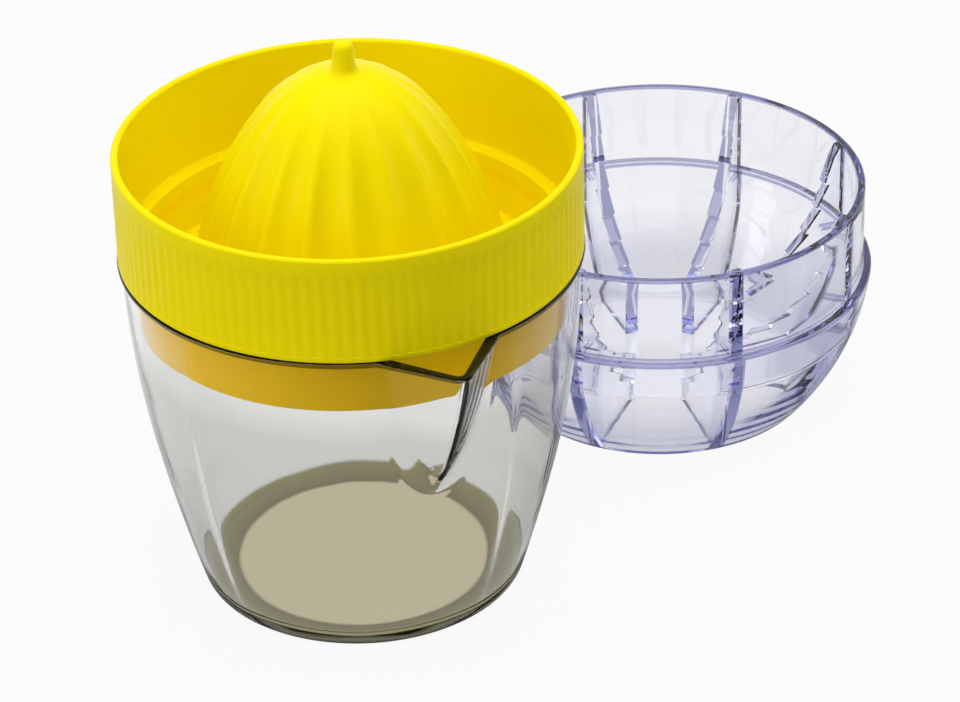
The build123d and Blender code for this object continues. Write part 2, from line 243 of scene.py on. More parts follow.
class Finishes(bpy.types.PropertyGroup):
    """Colours and surface sizes of the three plastics and of the stage, with the shade that is painted into
    the jug's, the tray's and the lid's colours.
    """

    yellow: colour("Yellow", "Lemon yellow of the tray", "#FBEA00")
    yellow_deep: colour("Deep yellow", "Slightly deeper cloud in the tray's yellow", "#F8E200")
    # Painted shade: the plug's deeper amber stands in for the collar's shade over it; the plug's plastic is
    # the same yellow.
    painted_plug_shade: colour("Shade yellow", "Amber of the plug, in the shade of the collar", "#FFCE00")
    yellow_cloud: length("Cloud size", "Size of the clouds in the tray's yellow", 14.0)
    yellow_grain: length("Grain size", "Size of the moulded grain on the tray", 1.1)
    jug_tint: colour("Jug tint", "What is left of white light in thick jug plastic", "#8A8A70")
    jug_density: ratio("Jug density", "How fast the jug's plastic takes up light", 26.0)
    jug_gloss: ratio("Jug gloss", "How much the jug mirrors, where 1 is bare polished plastic", 0.1)
    jug_shade: colour("Jug shade", "What a lamp's light keeps through one surface of the jug", "#FFFFFA")
    # Painted shade on the jug, not colours of its plastic: the greyer lower wall, the dark rim in the
    # collar's shade, and the beige floor and olive foot with its darker edge, where the shaded paper under
    # the tray shows through. The levels, radius and width here set where this painted shade lies.
    painted_wall_shade: colour("Jug grey", "What is left of white light through one wall of the jug", "#E9E9E7")
    painted_rim_shade: colour("Rim dark", "Jug's rim, in the shade of the collar", "#6A6656")
    rim_level: length("Rim level", "Height at which the dark rim starts", 82.7)
    plug_level: length("Plug level", "Height from which the jug's wall is quite clear", 70.0)
    painted_floor_shade: colour("Floor beige", "Underside of the jug's floor, looked at from inside", "#D1C08B")
    painted_foot_shade: colour("Foot olive", "Jug's foot round the floor, where its plastic is thick", "#4F482B")
    painted_foot_edge_shade: colour("Foot dark", "Outer edge of the jug's foot, where its plastic is thickest", "#6A6339")
    floor_radius: length("Floor radius", "Radius of the floor inside the foot", 29.5)
    foot_width: length("Foot width", "Width of the olive ring from the floor to the dark edge", 7.0)
    lid_tint: colour("Lid tint", "What is left of white light in thick lid plastic", "#003FC8")
    lid_density: ratio("Lid density", "How fast the lid's plastic takes up light", 14.0)
    # Painted shade on the lid: the wall greyer towards the crown, and dark violet lines at the rim, the
    # shoulder and across each fin's root, where the clear edges look dark; the lid's own violet is its tint
    # above.
    lid_grey: colour("Lid grey", "What is left of white light through one wall of the lid", "#F8F8FB")
    painted_crown_shade: colour("Crown grey", "The same low down, towards the crown", "#E2E2EC")
    painted_edge_lines: colour("Line violet", "Lid's rim and shoulder, looked at edge-on", "#7E7EB2")
    painted_fin_band: colour("Fin violet", "Strip of the lid's outside across a fin", "#7A7CA2")
    lid_shade: colour("Lid shade", "What a lamp's light keeps through one surface of the lid", "#E9E9F2")
    lid_gloss: ratio("Lid gloss", "How much the lid mirrors, where 1 is bare polished plastic", 1.0)
    ripple: length("Ripple size", "Size of the faint ripple in the clear mouldings", 16.0)
    paper: colour("Paper", "Pale floor", "#CCCCCC")


class StageSettings(bpy.types.PropertyGroup):
    """Camera and lamps."""

    camera_x: length("Camera X", "Camera's place along X", -275.1)
    camera_y: length("Camera Y", "Camera's place along Y", -731.4)
    camera_z: length("Camera Z", "Camera's height", 528.0)
    heading: angle("Heading", "Camera's heading from +Y towards +X", 22.69)
    pitch: angle("Pitch", "How far the camera looks down", 31.21)
    roll: angle("Roll", "Camera's turn about its own view", -1.375)
    lens: bpy.props.FloatProperty(
        name="Lens", description="Focal length on a 36 mm sensor", default=150.0, unit="CAMERA"
    )
    ambient: ratio("Ambient", "Light from all round, where 1 is white", 0.27)
    backdrop: ratio("Backdrop", "Strength of the white background, where 1 is white", 1.0)
    ceiling: ratio("Ceiling", "Strength of the studio's dim ceiling in gloss and glass", 0.3)
    front: ratio("Front", "What the studio's camera side keeps of its strength in a mirroring surface", 0.1)
    floor_glow: ratio("Floor glow", "How much the floor is lifted towards the white background", 0.92)
    glass_glow: ratio("Glass glow", "The same for the floor seen in gloss and through glass", 0.9)


def deselect():
    """Leaves no object selected."""
    bpy.ops.object.select_all(action="DESELECT")


def pick(piece):
    """Leaves only this piece selected, and active."""
    deselect()
    piece.select_set(True)
    bpy.context.view_layer.objects.active = piece


def edit_all():
    """Edit mode, with every point selected."""
    bpy.ops.object.mode_set(mode="EDIT")
    bpy.ops.mesh.select_all(action="SELECT")


def lathe(name, outline, columns):
    """New object: an outline of (radius, height) points, drawn edge by edge and spun round Z.

    A quarter is spun, then doubled twice, which is much quicker than one full turn.
    """
    deselect()
    bpy.ops.mesh.primitive_plane_add(size=MM)
    piece = bpy.context.object
    piece.name = piece.data.name = name
    edit_all()
    bpy.ops.mesh.merge(type="CENTER")
    bpy.ops.transform.translate(value=(outline[0][0], 0, outline[0][1]))
    for here, after in zip(outline, outline[1:]):
        step = (after[0] - here[0], 0, after[1] - here[1])
        bpy.ops.mesh.extrude_region_move(TRANSFORM_OT_translate={"value": step})
    bpy.ops.mesh.select_all(action="SELECT")
    bpy.ops.mesh.spin(steps=columns // 4, angle=math.tau / 4, center=(0, 0, 0), axis=(0, 0, 1))
    for turn in (math.tau / 4, math.tau / 2):
        bpy.ops.mesh.select_all(action="SELECT")
        bpy.ops.mesh.duplicate()
        bpy.ops.transform.rotate(value=turn, orient_axis="Z", center_override=(0, 0, 0))
    bpy.ops.object.mode_set(mode="OBJECT")
    close()
    return piece


def close():
    """Merges the active piece's doubled points, drops faces without area and points all faces outwards."""
    edit_all()
    bpy.ops.mesh.remove_doubles(threshold=MERGE_DISTANCE)
    bpy.ops.mesh.dissolve_degenerate(threshold=MERGE_DISTANCE)
    bpy.ops.mesh.select_all(action="SELECT")
    bpy.ops.mesh.normals_make_consistent(inside=False)
    bpy.ops.object.mode_set(mode="OBJECT")


def shape(piece, outline, rule):
    """Moves each point of a spun piece to where rule(mark, bearing, radius, height) puts it.

    The mark is the third entry of the point's place on the outline. Bearings count from -Y towards +X.
    """
    places = kdtree.KDTree(len(outline))
    for k, (radius, height, _) in enumerate(outline):
        places.insert((radius, height, 0), k)
    places.balance()
    for vertex in piece.data.vertices:
        radius = math.hypot(vertex.co.x, vertex.co.y)
        bearing = math.atan2(vertex.co.x, -vertex.co.y)
        nearest = places.find((radius, vertex.co.z, 0))[1]
        mark = outline[nearest][2]
        vertex.co = rule(mark, bearing, radius, vertex.co.z)
    piece.data.update()


def turned(name, form, columns):
    """New object: the form's outline, spun and then shaped by the form's places."""
    outline = form.outline()
    piece = lathe(name, outline, columns)
    shape(piece, outline, form.place)
    return piece


def finish_piece(piece, material, body, node):
    """Smooth shading, finish, and the CAD body, node and material slot that the piece stands for."""
    pick(piece)
    bpy.ops.object.shade_smooth_by_angle(angle=SMOOTH_ANGLE)
    piece.data.materials.clear()
    piece.data.materials.append(material)
    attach(piece, body)
    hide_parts(node)


def polar(radius, bearing, height):
    """Point at a bearing counted from -Y towards +X."""
    return Vector((radius * math.sin(bearing), -radius * math.cos(bearing), height))


def from_middle(bearing, pitch):
    """Signed bearing from the middle of the nearest of several equal sectors."""
    return (bearing + pitch / 2) % pitch - pitch / 2


def between(first, last, steps):
    """Evenly spaced values from first to last."""
    return [first + (last - first) * k / steps for k in range(steps + 1)]


def rows(levels, steps):
    """Values from each level to the next one, in as many steps as are given for it."""
    found = [levels[0]]
    for first, last, number in zip(levels, levels[1:], steps):
        found += between(first, last, number)[1:]
    return found


def marked(points, mark):
    """The same outline points with a mark on each."""
    return [(radius, height, mark) for radius, height in points]


def rounded(corners, steps=4):
    """Outline through (radius, height, rounding) corners, without the first and the last."""
    points = []
    for before, corner, after in zip(corners, corners[1:], corners[2:]):
        here = Vector(corner[:2])
        rounding = corner[2]
        if rounding == 0:
            points.append(tuple(here))
            continue
        back = (Vector(before[:2]) - here).normalized()
        on = (Vector(after[:2]) - here).normalized()
        half = back.angle(on) / 2
        centre = here + (back + on).normalized() * (rounding / math.sin(half))
        start = here + back * (rounding / math.tan(half)) - centre
        end = here + on * (rounding / math.tan(half)) - centre
        for share in between(0, 1, steps):
            points.append(tuple(centre + start.lerp(end, share).normalized() * rounding))
    return points


def cove(wall, level, rounding, steps):
    """Arc from a level floor up into a leaning wall, which is a radius for each height."""
    lean = 0.0
    for _ in range(COVE_TRIES):
        touch = level + rounding * (1 - math.sin(lean))
        lean = math.atan((wall(touch + MM) - wall(touch - MM)) / (2 * MM))
    touch = level + rounding * (1 - math.sin(lean))
    middle = wall(touch) - rounding * math.cos(lean)
    turns = between(-math.pi / 2, -lean, steps)
    return [(middle + rounding * math.cos(t), level + rounding * (1 + math.sin(t))) for t in turns]


def bow_circle(start, end, sagitta):
    """Centre and radius of an arc that bows outwards between two (radius, height) points."""
    start, end = Vector(start), Vector(end)
    chord = end - start
    radius = (chord.length_squared / 4 + sagitta**2) / (2 * sagitta)
    outwards = Vector((chord.y, -chord.x)).normalized()
    return (start + end) / 2 + outwards * (sagitta - radius), radius


def soft_max(first, second, softness):
    """Larger of two values, with a soft change from one to the other."""
    share = min(1.0, max(0.0, 0.5 + 0.5 * (first - second) / softness))
    return second + (first - second) * share + softness * share * (1 - share) / 2


class JugForm:
    """Radii of the jug's walls, all in metres. Mesh rows lie closer together round the lip's lower end."""

    FOOT_STEPS = 6
    SWEEP_STEPS = 12
    OUTER_ROWS = (14, 18, 28)
    INNER_ROWS = (26, 16, 12)
    CLOSE_BELOW = 4 * MM
    CLOSE_ABOVE = 6 * MM

    def __init__(self, sizes):
        self.s = sizes
        self.height = JUG_BOX[1].z

    def edge(self, z):
        """Outside on the edge between two panels."""
        below = max(0.0, 1 - z / self.height)
        return self.s.rim_radius - (self.s.rim_radius - self.s.foot_radius) * below**self.s.belly

    def panel(self, z):
        """Outside in the middle of a panel."""
        return self.edge(z) - self.s.panel_depth * math.sin(math.pi * z / self.height)

    def bore(self, z):
        """Round inside."""
        return self.panel(z) - self.s.wall

    def section(self, bearing, z):
        """Outside at a bearing: one shallow arc for each panel."""
        half = math.pi / self.s.panels
        edge, panel = self.edge(z), self.panel(z)
        sagitta = panel - edge * math.cos(half)
        bow = ((edge * math.sin(half)) ** 2 + sagitta**2) / (2 * sagitta)
        middle = panel - bow
        soft = self.s.panel_round / edge
        aside = math.hypot(half - abs(from_middle(bearing, 2 * half)), soft) - soft
        turn = half - half * aside / (math.hypot(half, soft) - soft)
        return middle * math.cos(turn) + math.sqrt(bow**2 - (middle * math.sin(turn)) ** 2)

    def lip_share(self, z):
        """Height on the lip as a share, from 0 at its lower end to 1 at the rim."""
        return max(0.0, 1 - (self.height - z) / self.s.lip_length)

    def join(self, z):
        """Softness of the join between lip and wall, which gets crisper towards the rim."""
        return self.s.lip_blend + (self.s.lip_crease - self.s.lip_blend) * self.lip_share(z)

    def lip(self, bearing, z, setback, slimming):
        """Rounded V of the pouring lip at a bearing, or 0 where there is none."""
        s = self.s
        share = self.lip_share(z)
        turn = abs(from_middle(bearing, math.tau))
        if share == 0 or turn > math.pi / 4:
            return 0.0
        face = self.panel(z) - setback - self.join(z) * (1 - share)
        reach = face - s.lip_root + (s.lip_reach + s.lip_root) * share**s.lip_rise
        half_width = (s.lip_half_width - slimming) * share**s.lip_taper
        edge = math.asin(half_width / face)
        if turn > edge:
            return face * (1 + edge - turn)
        slope = (reach - math.sqrt(face**2 - half_width**2)) / half_width
        radius = reach / (math.cos(turn) + slope * math.sin(turn))
        rounding = s.lip_round - slimming
        half_angle = math.atan2(1, slope)
        if slope > 0 and radius * math.sin(turn) < rounding * math.cos(half_angle):
            middle = reach - rounding / math.sin(half_angle)
            root = rounding**2 - (middle * math.sin(turn)) ** 2
            radius = middle * math.cos(turn) + math.sqrt(max(0.0, root))
        return radius

    def outside(self, bearing, z):
        """Wall and lip together, seen from outside."""
        return soft_max(self.section(bearing, z), self.lip(bearing, z, 0, 0), self.join(z))

    def inside(self, bearing, z):
        """Wall and lip together, seen from inside."""
        channel = self.lip(bearing, z, self.s.wall, self.s.lip_slimming)
        wall = self.bore(z) + self.s.inner_panels * (self.section(bearing, z) - self.panel(z))
        return soft_max(wall, channel, self.join(z))

    def outline(self):
        """Outline from the middle of the foot over the rim to the middle of the floor."""
        s, top = self.s, self.height
        foot = cove(self.edge, 0, s.foot_round, self.FOOT_STEPS)
        bead_low = top - s.bead_height
        crest = s.rim_radius + s.bead
        lip_end = top - s.lip_length
        low, high = lip_end - self.CLOSE_BELOW, lip_end + self.CLOSE_ABOVE
        levels = rows((foot[-1][1], low, high, bead_low - s.bead_round), self.OUTER_ROWS)
        walls = [(self.edge(z), z) for z in levels[1:]]
        bead = [
            walls[-1],
            (self.edge(bead_low), bead_low, s.bead_round / 2),
            (crest, bead_low, s.bead_round),
            (crest, top, s.bead_round),
            (s.rim_radius, top),
        ]
        mouth = [(crest, top), (self.bore(top), top, s.bead_round), (self.bore(bead_low), bead_low)]
        sweep = cove(self.bore, s.floor, s.floor_round, self.SWEEP_STEPS)[::-1]
        levels = rows((bead_low, high, low, sweep[0][1]), self.INNER_ROWS)
        bore = [(self.bore(z), z) for z in levels[:-1]]
        flat = [(0, 0, None), (foot[0][0] / 2, 0, None)]
        middle = [(sweep[-1][0] * share, s.floor, None) for share in (2 / 3, 1 / 3, 0)]
        out = marked(foot + walls + rounded(bead), "outside")
        return flat + out + marked(rounded(mouth) + bore + sweep, "inside") + middle

    def place(self, mark, bearing, radius, z):
        """Place of a mesh point: the panels and the lip move the walls that the outline gives."""
        if mark == "outside":
            radius += self.outside(bearing, z) - self.edge(z)
        elif mark == "inside":
            radius += self.inside(bearing, z) - self.bore(z)
        return polar(radius, bearing, z)


class TrayForm:
    """Radii of the tray's collar, plug and fluted dome, all in metres."""

    DOME_STEPS = 34
    HOLLOW_STEPS = 14
    RIB_ROWS = 3
    UNDER_STEPS = 3

    def __init__(self, sizes):
        self.s = sizes
        self.collar = (TRAY_BOX[1].x - TRAY_BOX[0].x) / 2
        self.strainer = sizes.seat - sizes.strainer_drop
        self.dome_foot = self.strainer - sizes.strainer_thickness
        self.floor_outer = sizes.plug_low_radius - sizes.plug_wall

    def ridge(self, share):
        """Radius of the dome at a share of its height, on a ridge."""
        return self.s.dome_radius * max(0.0, 1 - share**self.s.dome_flank) ** self.s.dome_crown

    def dome_points(self, foot_radius, height, shares):
        """Outline of a dome with that foot radius and height at shares of its height."""
        grow = foot_radius / self.s.dome_radius
        return [(self.ridge(share) * grow, self.dome_foot + share * height) for share in shares]

    def flute(self, bearing, radius, z):
        """Radius of the dome at a bearing: round-backed ridges and hollow flutes in turn."""
        s = self.s
        share = (z - self.dome_foot) / s.dome_height
        hollow = s.flute_depth * radius / s.dome_radius * max(0.0, 1 - share**s.flute_fade)
        half_pitch = math.pi / s.flutes
        half_ridge = s.ridge_width / s.dome_radius / 2
        turn = abs(from_middle(bearing, 2 * half_pitch))
        if turn < half_ridge:
            dip = s.ridge_shoulder * (turn / half_ridge) ** 2
        else:
            rest = (half_pitch - turn) / (half_pitch - half_ridge)
            dip = 1 - (1 - s.ridge_shoulder) * rest**2
        return radius - hollow * dip

    def rib(self, bearing, radius):
        """Radius of the ribbed band at a bearing: soft ribs side by side."""
        return radius - self.s.rib_height * (1 - math.cos(self.s.ribs * bearing)) / 2

    def outline(self):
        """Outline from the top of the nub down the dome, over the collar and back under the dome."""
        s = self.s
        cap = (1 - (s.cap_radius / s.dome_radius) ** (1 / s.dome_crown)) ** (1 / s.dome_flank)
        nub_foot = self.dome_foot + s.dome_height
        nub_top = nub_foot + s.nub_height
        low_share = s.strainer_thickness / s.dome_height
        turns = between(math.pi / 2, math.asin(low_share / cap), self.DOME_STEPS)
        dome = self.dome_points(s.dome_radius, s.dome_height, [cap * math.sin(t) for t in turns])
        nub = [
            (0, nub_top),
            (s.nub_radius - s.nub_taper, nub_top, s.nub_round),
            (s.nub_radius, nub_foot, s.nub_round),
            dome[0],
        ]
        top = s.seat + s.collar_height
        bore = self.collar - s.collar_wall
        ledge = s.seat + s.ledge
        plug_low = s.seat - s.plug_depth
        basin = [
            dome[-1],
            (s.dome_radius + s.rim_round, self.strainer, 0),
            (self.floor_outer, self.strainer, s.rim_round),
            (s.plug_top_radius - s.plug_wall, ledge, s.rim_round),
            (bore, ledge, s.rim_round),
            (bore, top, s.rim_round),
            (self.collar, top, s.rim_round),
            (self.collar, s.seat),
        ]
        grip_high, grip_low = top - s.rim_band, s.seat + s.foot_band
        inset = s.edge_round / 2
        rib_levels = between(grip_high - inset, grip_low + inset, self.RIB_ROWS)
        ribs = [(self.collar, z) for z in rib_levels]
        hollow_foot = s.dome_radius - s.flute_depth - s.dome_wall
        hollow_turns = between(0, math.pi / 2, self.HOLLOW_STEPS)[1:]
        rise = s.dome_height - 2 * s.dome_wall
        hollow = self.dome_points(hollow_foot, rise, [math.sin(t) for t in hollow_turns])
        under = [
            (self.collar, grip_low),
            (self.collar, s.seat, s.edge_round),
            (s.plug_top_radius, s.seat, s.edge_round),
            (s.plug_low_radius, plug_low, s.edge_round),
            (self.floor_outer, plug_low, s.edge_round),
            (self.floor_outer, self.dome_foot, s.edge_round),
            (hollow_foot, self.dome_foot, s.edge_round),
            hollow[0],
        ]
        outline = marked([(0, nub_top)] + rounded(nub), None) + marked(dome, "flute")
        outline += marked(rounded(basin) + [(self.collar, grip_high)], None) + marked(ribs, "rib")
        lower = [(self.collar, grip_low)] + rounded(under, self.UNDER_STEPS)
        return outline + marked(lower + hollow, None)

    def place(self, mark, bearing, radius, z):
        """Place of a mesh point: flutes on the dome, ribs on the collar."""
        if mark == "flute":
            radius = self.flute(bearing, radius, z)
        elif mark == "rib":
            radius = self.rib(bearing, radius)
        return polar(radius, bearing, z)


class LidForm:
    """Radii of the lid's walls and of its fins' inner edges, all in metres, about the lid's own axis.

    A fin has one mesh column in its middle and FIN_COLUMNS on each side of that.
    """

    BOW_STEPS = 26
    SKIRT_STEPS = 6
    RING_SPACING = 1.6 * MM
    CROWN_RINGS = 8
    FIN_COLUMNS = 2

    def __init__(self, sizes):
        self.s = sizes
        self.height = LID_BOX[1].z
        self.shoulder = (LID_BOX[1].x - LID_BOX[0].x) / 2
        self.shoulder_height = self.height - sizes.skirt
        self.skirt = self.shoulder - sizes.step
        self.bore = self.skirt - sizes.wall
        self.inner_crown = (sizes.crown_radius - sizes.wall, sizes.crown_thickness)
        self.bend = (self.bore, self.shoulder_height - sizes.step_depth)
        self.fin_points = self.fin_corners()
        self.floor_rise = self.fin_points[-2][1] / 2

    def seat_point(self, radius, turn):
        """Point of the round seat for the fruit, at an angle below the rim's plane."""
        return (radius * math.cos(turn), self.height - radius * math.sin(turn))

    def fin_corners(self):
        """Saw-toothed inner edge of a fin from its top to the crown, as (radius, height)."""
        s = self.s
        first = math.asin(s.fin_lead / s.cradle)
        last = math.acos(s.fin_end / s.cradle)
        corners = [(self.bore - s.fin_rim_depth, self.height - s.fin_gap), self.seat_point(s.cradle, first)]
        for turn in between(first, last, s.teeth)[1:]:
            corners.append(self.seat_point(s.cradle - s.tooth_depth, turn))
            corners.append(self.seat_point(s.cradle, turn))
        return [*corners, (s.fin_end, s.crown_thickness)]

    def fin_radius(self, z):
        """Radius of a fin's inner edge at height z."""
        for (outer, high), (inner, low) in zip(self.fin_points, self.fin_points[1:]):
            if z >= low:
                return inner + (outer - inner) * (z - low) / (high - low)
        return self.s.fin_end

    def inner_radius(self, z):
        """Radius of the wall's inside at height z."""
        if z >= self.bend[1]:
            return self.bore
        centre, radius = bow_circle(self.inner_crown, self.bend, self.s.inner_bulge)
        return centre.x + math.sqrt(radius**2 - (z - centre.y) ** 2)

    def outer_bow(self):
        """Bowed flank between crown and shoulder, outside."""
        start, end = (self.s.crown_radius, 0), (self.shoulder, self.shoulder_height)
        centre, radius = bow_circle(start, end, self.s.bulge)
        first, last = (math.atan2(p[1] - centre.y, p[0] - centre.x) for p in (start, end))
        return [
            (centre.x + radius * math.cos(t), centre.y + radius * math.sin(t))
            for t in between(first, last, self.BOW_STEPS)
        ]

    def wall_height(self, fin_height):
        """Height on the wall that belongs to one on a fin's edge: lower down the fin's foot fans out."""
        s, last_tooth = self.s, self.fin_points[-3][1]
        if fin_height >= last_tooth:
            return fin_height
        share = (fin_height - self.floor_rise) / (last_tooth - self.floor_rise)
        return s.crown_thickness + share * (last_tooth - s.crown_thickness)

    def inner_rings(self):
        """Rings of the inside from the fins' tops to the crown, each with its place on a fin's edge."""
        s = self.s
        corners = [z for _, z in self.fin_points[:-1]]
        corners += [self.bend[1], self.floor_rise]
        corners.sort(reverse=True)
        gaps = [high - low for high, low in zip(corners, corners[1:])]
        rings = []
        for z in rows(corners, [max(1, round(gap / self.RING_SPACING)) for gap in gaps]):
            level = self.wall_height(z)
            rings.append((self.inner_radius(level), level, (self.fin_radius(z), z)))
        crown = rings[-1][0]
        for share in between(0, 1, self.CROWN_RINGS)[1:]:
            radius = crown + (s.fin_end - crown) * share
            height = self.floor_rise + (s.crown_thickness - self.floor_rise) * share
            rings.append((radius, s.crown_thickness, (s.fin_end, height)))
        return rings

    def outline(self):
        """Outline from the middle of the crown over the rim to the middle of the inside."""
        s = self.s
        skirt_levels = between(self.shoulder_height, self.height, self.SKIRT_STEPS)
        flank = [
            (0, 0),
            (s.crown_radius, 0, s.crown_round),
            *[(radius, z, 0) for radius, z in self.outer_bow()[1:-1]],
            (self.shoulder, self.shoulder_height, s.edge_round),
            (self.skirt, self.shoulder_height, s.edge_round),
            *[(self.skirt, z, 0) for z in skirt_levels[1:-1]],
            (self.skirt, self.height, s.edge_round),
            (self.bore, self.height, s.edge_round / 2),
            (self.bore, self.shoulder_height),
        ]
        middle = [(s.fin_end * share, s.crown_thickness) for share in (0.75, 0.5, 0.25, 0)]
        start = marked([(0, 0), (s.crown_radius / 2, 0)], None)
        return start + marked(rounded(flank), None) + self.inner_rings() + marked(middle, None)

    def place(self, mark, bearing, radius, z):
        """Place of a mesh point: columns gather at each fin, whose sides are flat and parallel."""
        s, beside = self.s, self.FIN_COLUMNS
        pitch = math.tau / s.fins
        half = s.fin_width / 2
        column = round(bearing % math.tau / pitch * s.columns)
        fin, offset = divmod(column + beside, s.columns)
        direction = fin * pitch
        reach = max(radius, s.fin_end)
        if offset > 2 * beside:
            edge = math.asin(half / reach)
            share = (offset - 2 * beside - 1) / (s.columns - 2 * beside - 2)
            return polar(radius, direction + edge + share * (pitch - 2 * edge), z)
        side = (-half, s.fin_bevel - half, 0, half - s.fin_bevel, half)[offset]
        along = math.sqrt(reach**2 - side**2)
        if radius < s.fin_end:
            along, side = along * radius / s.fin_end, side * radius / s.fin_end
        if mark is not None:
            along, z = mark
            if offset in (0, 2 * beside):
                along += s.fin_bevel
        return polar(math.hypot(along, side), direction + math.atan2(side, along), z)


def cut_slots(tray, form):
    """Cuts the ring of radial slots through the strainer floor."""
    s = form.s
    depth = (form.floor_outer - s.dome_radius) * s.slot_share
    middle = (form.floor_outer + s.dome_radius) / 2
    level = form.dome_foot + s.strainer_thickness / 2
    deselect()
    bpy.ops.mesh.primitive_cube_add(size=1, location=(middle, 0, level))
    cutter = bpy.context.object
    cutter.scale = (depth, s.slot_width, 2 * s.strainer_thickness)
    bpy.ops.object.transform_apply(location=True, rotation=True, scale=True)
    edit_all()
    for _ in range(s.slots - 1):
        bpy.ops.mesh.duplicate()
        bpy.ops.transform.rotate(value=math.tau / s.slots, orient_axis="Z", center_override=(0, 0, 0))
    bpy.ops.object.mode_set(mode="OBJECT")
    pick(tray)
    cut = tray.modifiers.new("Slots", "BOOLEAN")
    cut.operation = "DIFFERENCE"
    cut.solver = "EXACT"
    cut.object = cutter
    bpy.ops.object.modifier_apply(modifier=cut.name)
    bpy.data.objects.remove(cutter)


def add_node(tree, kind, inputs=None, out=0, **settings):
    """Adds a shader node with its settings and gives back the output asked for, or all of them for None.

    An input that is another node's output is linked, any other is set.
    """
    node = tree.nodes.new(kind)
    for name, value in settings.items():
        setattr(node, name, value)
    for name, value in (inputs or {}).items():
        if isinstance(value, bpy.types.NodeSocket):
            tree.links.new(value, node.inputs[name])
        else:
            node.inputs[name].default_value = value
    return node.outputs if out is None else node.outputs[out]


def new_material(name):
    """Material with an empty node tree."""
    material = bpy.data.materials.new(name)
    material.use_nodes = True
    material.node_tree.nodes.clear()
    return material, material.node_tree


def graded(tree, tone, steps):
    """Colour that changes to the next one over each (value, from, to, colour) step.

    A colour is a set one or another node's output.
    """
    for value, low, high, after in steps:
        share = add_node(tree, "ShaderNodeMapRange", {"Value": value, "From Min": low, "From Max": high})
        tone = add_node(tree, "ShaderNodeMix", {"Factor": share, 6: tone, 7: after}, 2, data_type="RGBA")
    return tone


def upright(tree, coords):
    """X, Y and Z of a point by name, and its distance from the Z axis."""
    place = add_node(tree, "ShaderNodeSeparateXYZ", {"Vector": coords}, None)
    flat = add_node(tree, "ShaderNodeCombineXYZ", {"X": place["X"], "Y": place["Y"]})
    return place, add_node(tree, "ShaderNodeVectorMath", {0: flat}, "Value", operation="LENGTH")


def yellow_polypropylene(finish, seat, plug):
    """Lemon-yellow polypropylene, moulded in a satin tool: even colour, soft broad highlights, faint grain.

    Below the seat, the outside of the plug of that radius is painted a deeper amber: painted shade of the
    collar over the plug.
    """
    material, tree = new_material("Moulded yellow polypropylene")
    coords = add_node(tree, "ShaderNodeTexCoord", out="Object")
    cloud, grain = (
        add_node(tree, "ShaderNodeTexNoise", {"Vector": coords, "Scale": 1 / size, "Detail": detail})
        for size, detail in ((finish.yellow_cloud, 3.0), (finish.yellow_grain, 2.0))
    )
    base = graded(tree, finish.yellow, ((cloud, 0, 1, finish.yellow_deep),))
    place, radius = upright(tree, coords)
    above, outer = (
        add_node(tree, "ShaderNodeMapRange", {"Value": value, "From Min": low, "From Max": high})
        for value, low, high in (
            (place["Z"], seat - PLUG_FADE, seat),
            (radius, plug - PLUG_SKIN, plug - PLUG_SKIN / 2),
        )
    )
    # Painted shade: the plug's outside below the seat is coloured a deeper amber for the collar's shade over
    # it.
    painted_plug_shade_mask = add_node(tree, "ShaderNodeMath", {0: outer, 1: above}, operation="SUBTRACT", use_clamp=True)
    tone = graded(tree, base, ((painted_plug_shade_mask, 0, 1, finish.painted_plug_shade),))
    sheen = add_node(tree, "ShaderNodeMapRange", {"Value": cloud, "To Min": 0.3, "To Max": 0.38})
    bump = add_node(tree, "ShaderNodeBump", {"Height": grain, "Strength": 0.25, "Distance": 0.02 * MM})
    surface = add_node(
        tree,
        "ShaderNodeBsdfPrincipled",
        {
            "Base Color": tone,
            "Roughness": sheen,
            "IOR": POLYPROPYLENE_IOR,
            "Specular IOR Level": 0.05,
            "Normal": bump,
        },
    )
    add_node(tree, "ShaderNodeOutputMaterial", {"Surface": surface}, None)
    return material


def jug_painted_shade(tree, coords, finish):
    """Painted shade on the jug's clear surface: a beige floor and an olive foot with a darker edge, for the
    shaded paper under the tray seen through them; a wall painted greyer below the plug level and clear
    above; a dark rim for the collar's shade.
    """
    place, radius = upright(tree, coords)
    height, start = place["Z"], finish.floor_radius
    steps = (
        (radius, start - RING_FADE, start + RING_FADE, finish.painted_foot_shade),
        (radius, start + 2 * RING_FADE, start + finish.foot_width, finish.painted_foot_edge_shade),
        (height, *FOOT_FADE, finish.painted_wall_shade),
        (height, finish.plug_level - CLEAR_FADE, finish.plug_level, CLEAR),
        (height, finish.rim_level, finish.rim_level + RIM_FADE, finish.painted_rim_shade),
    )
    return graded(tree, finish.painted_floor_shade, steps)


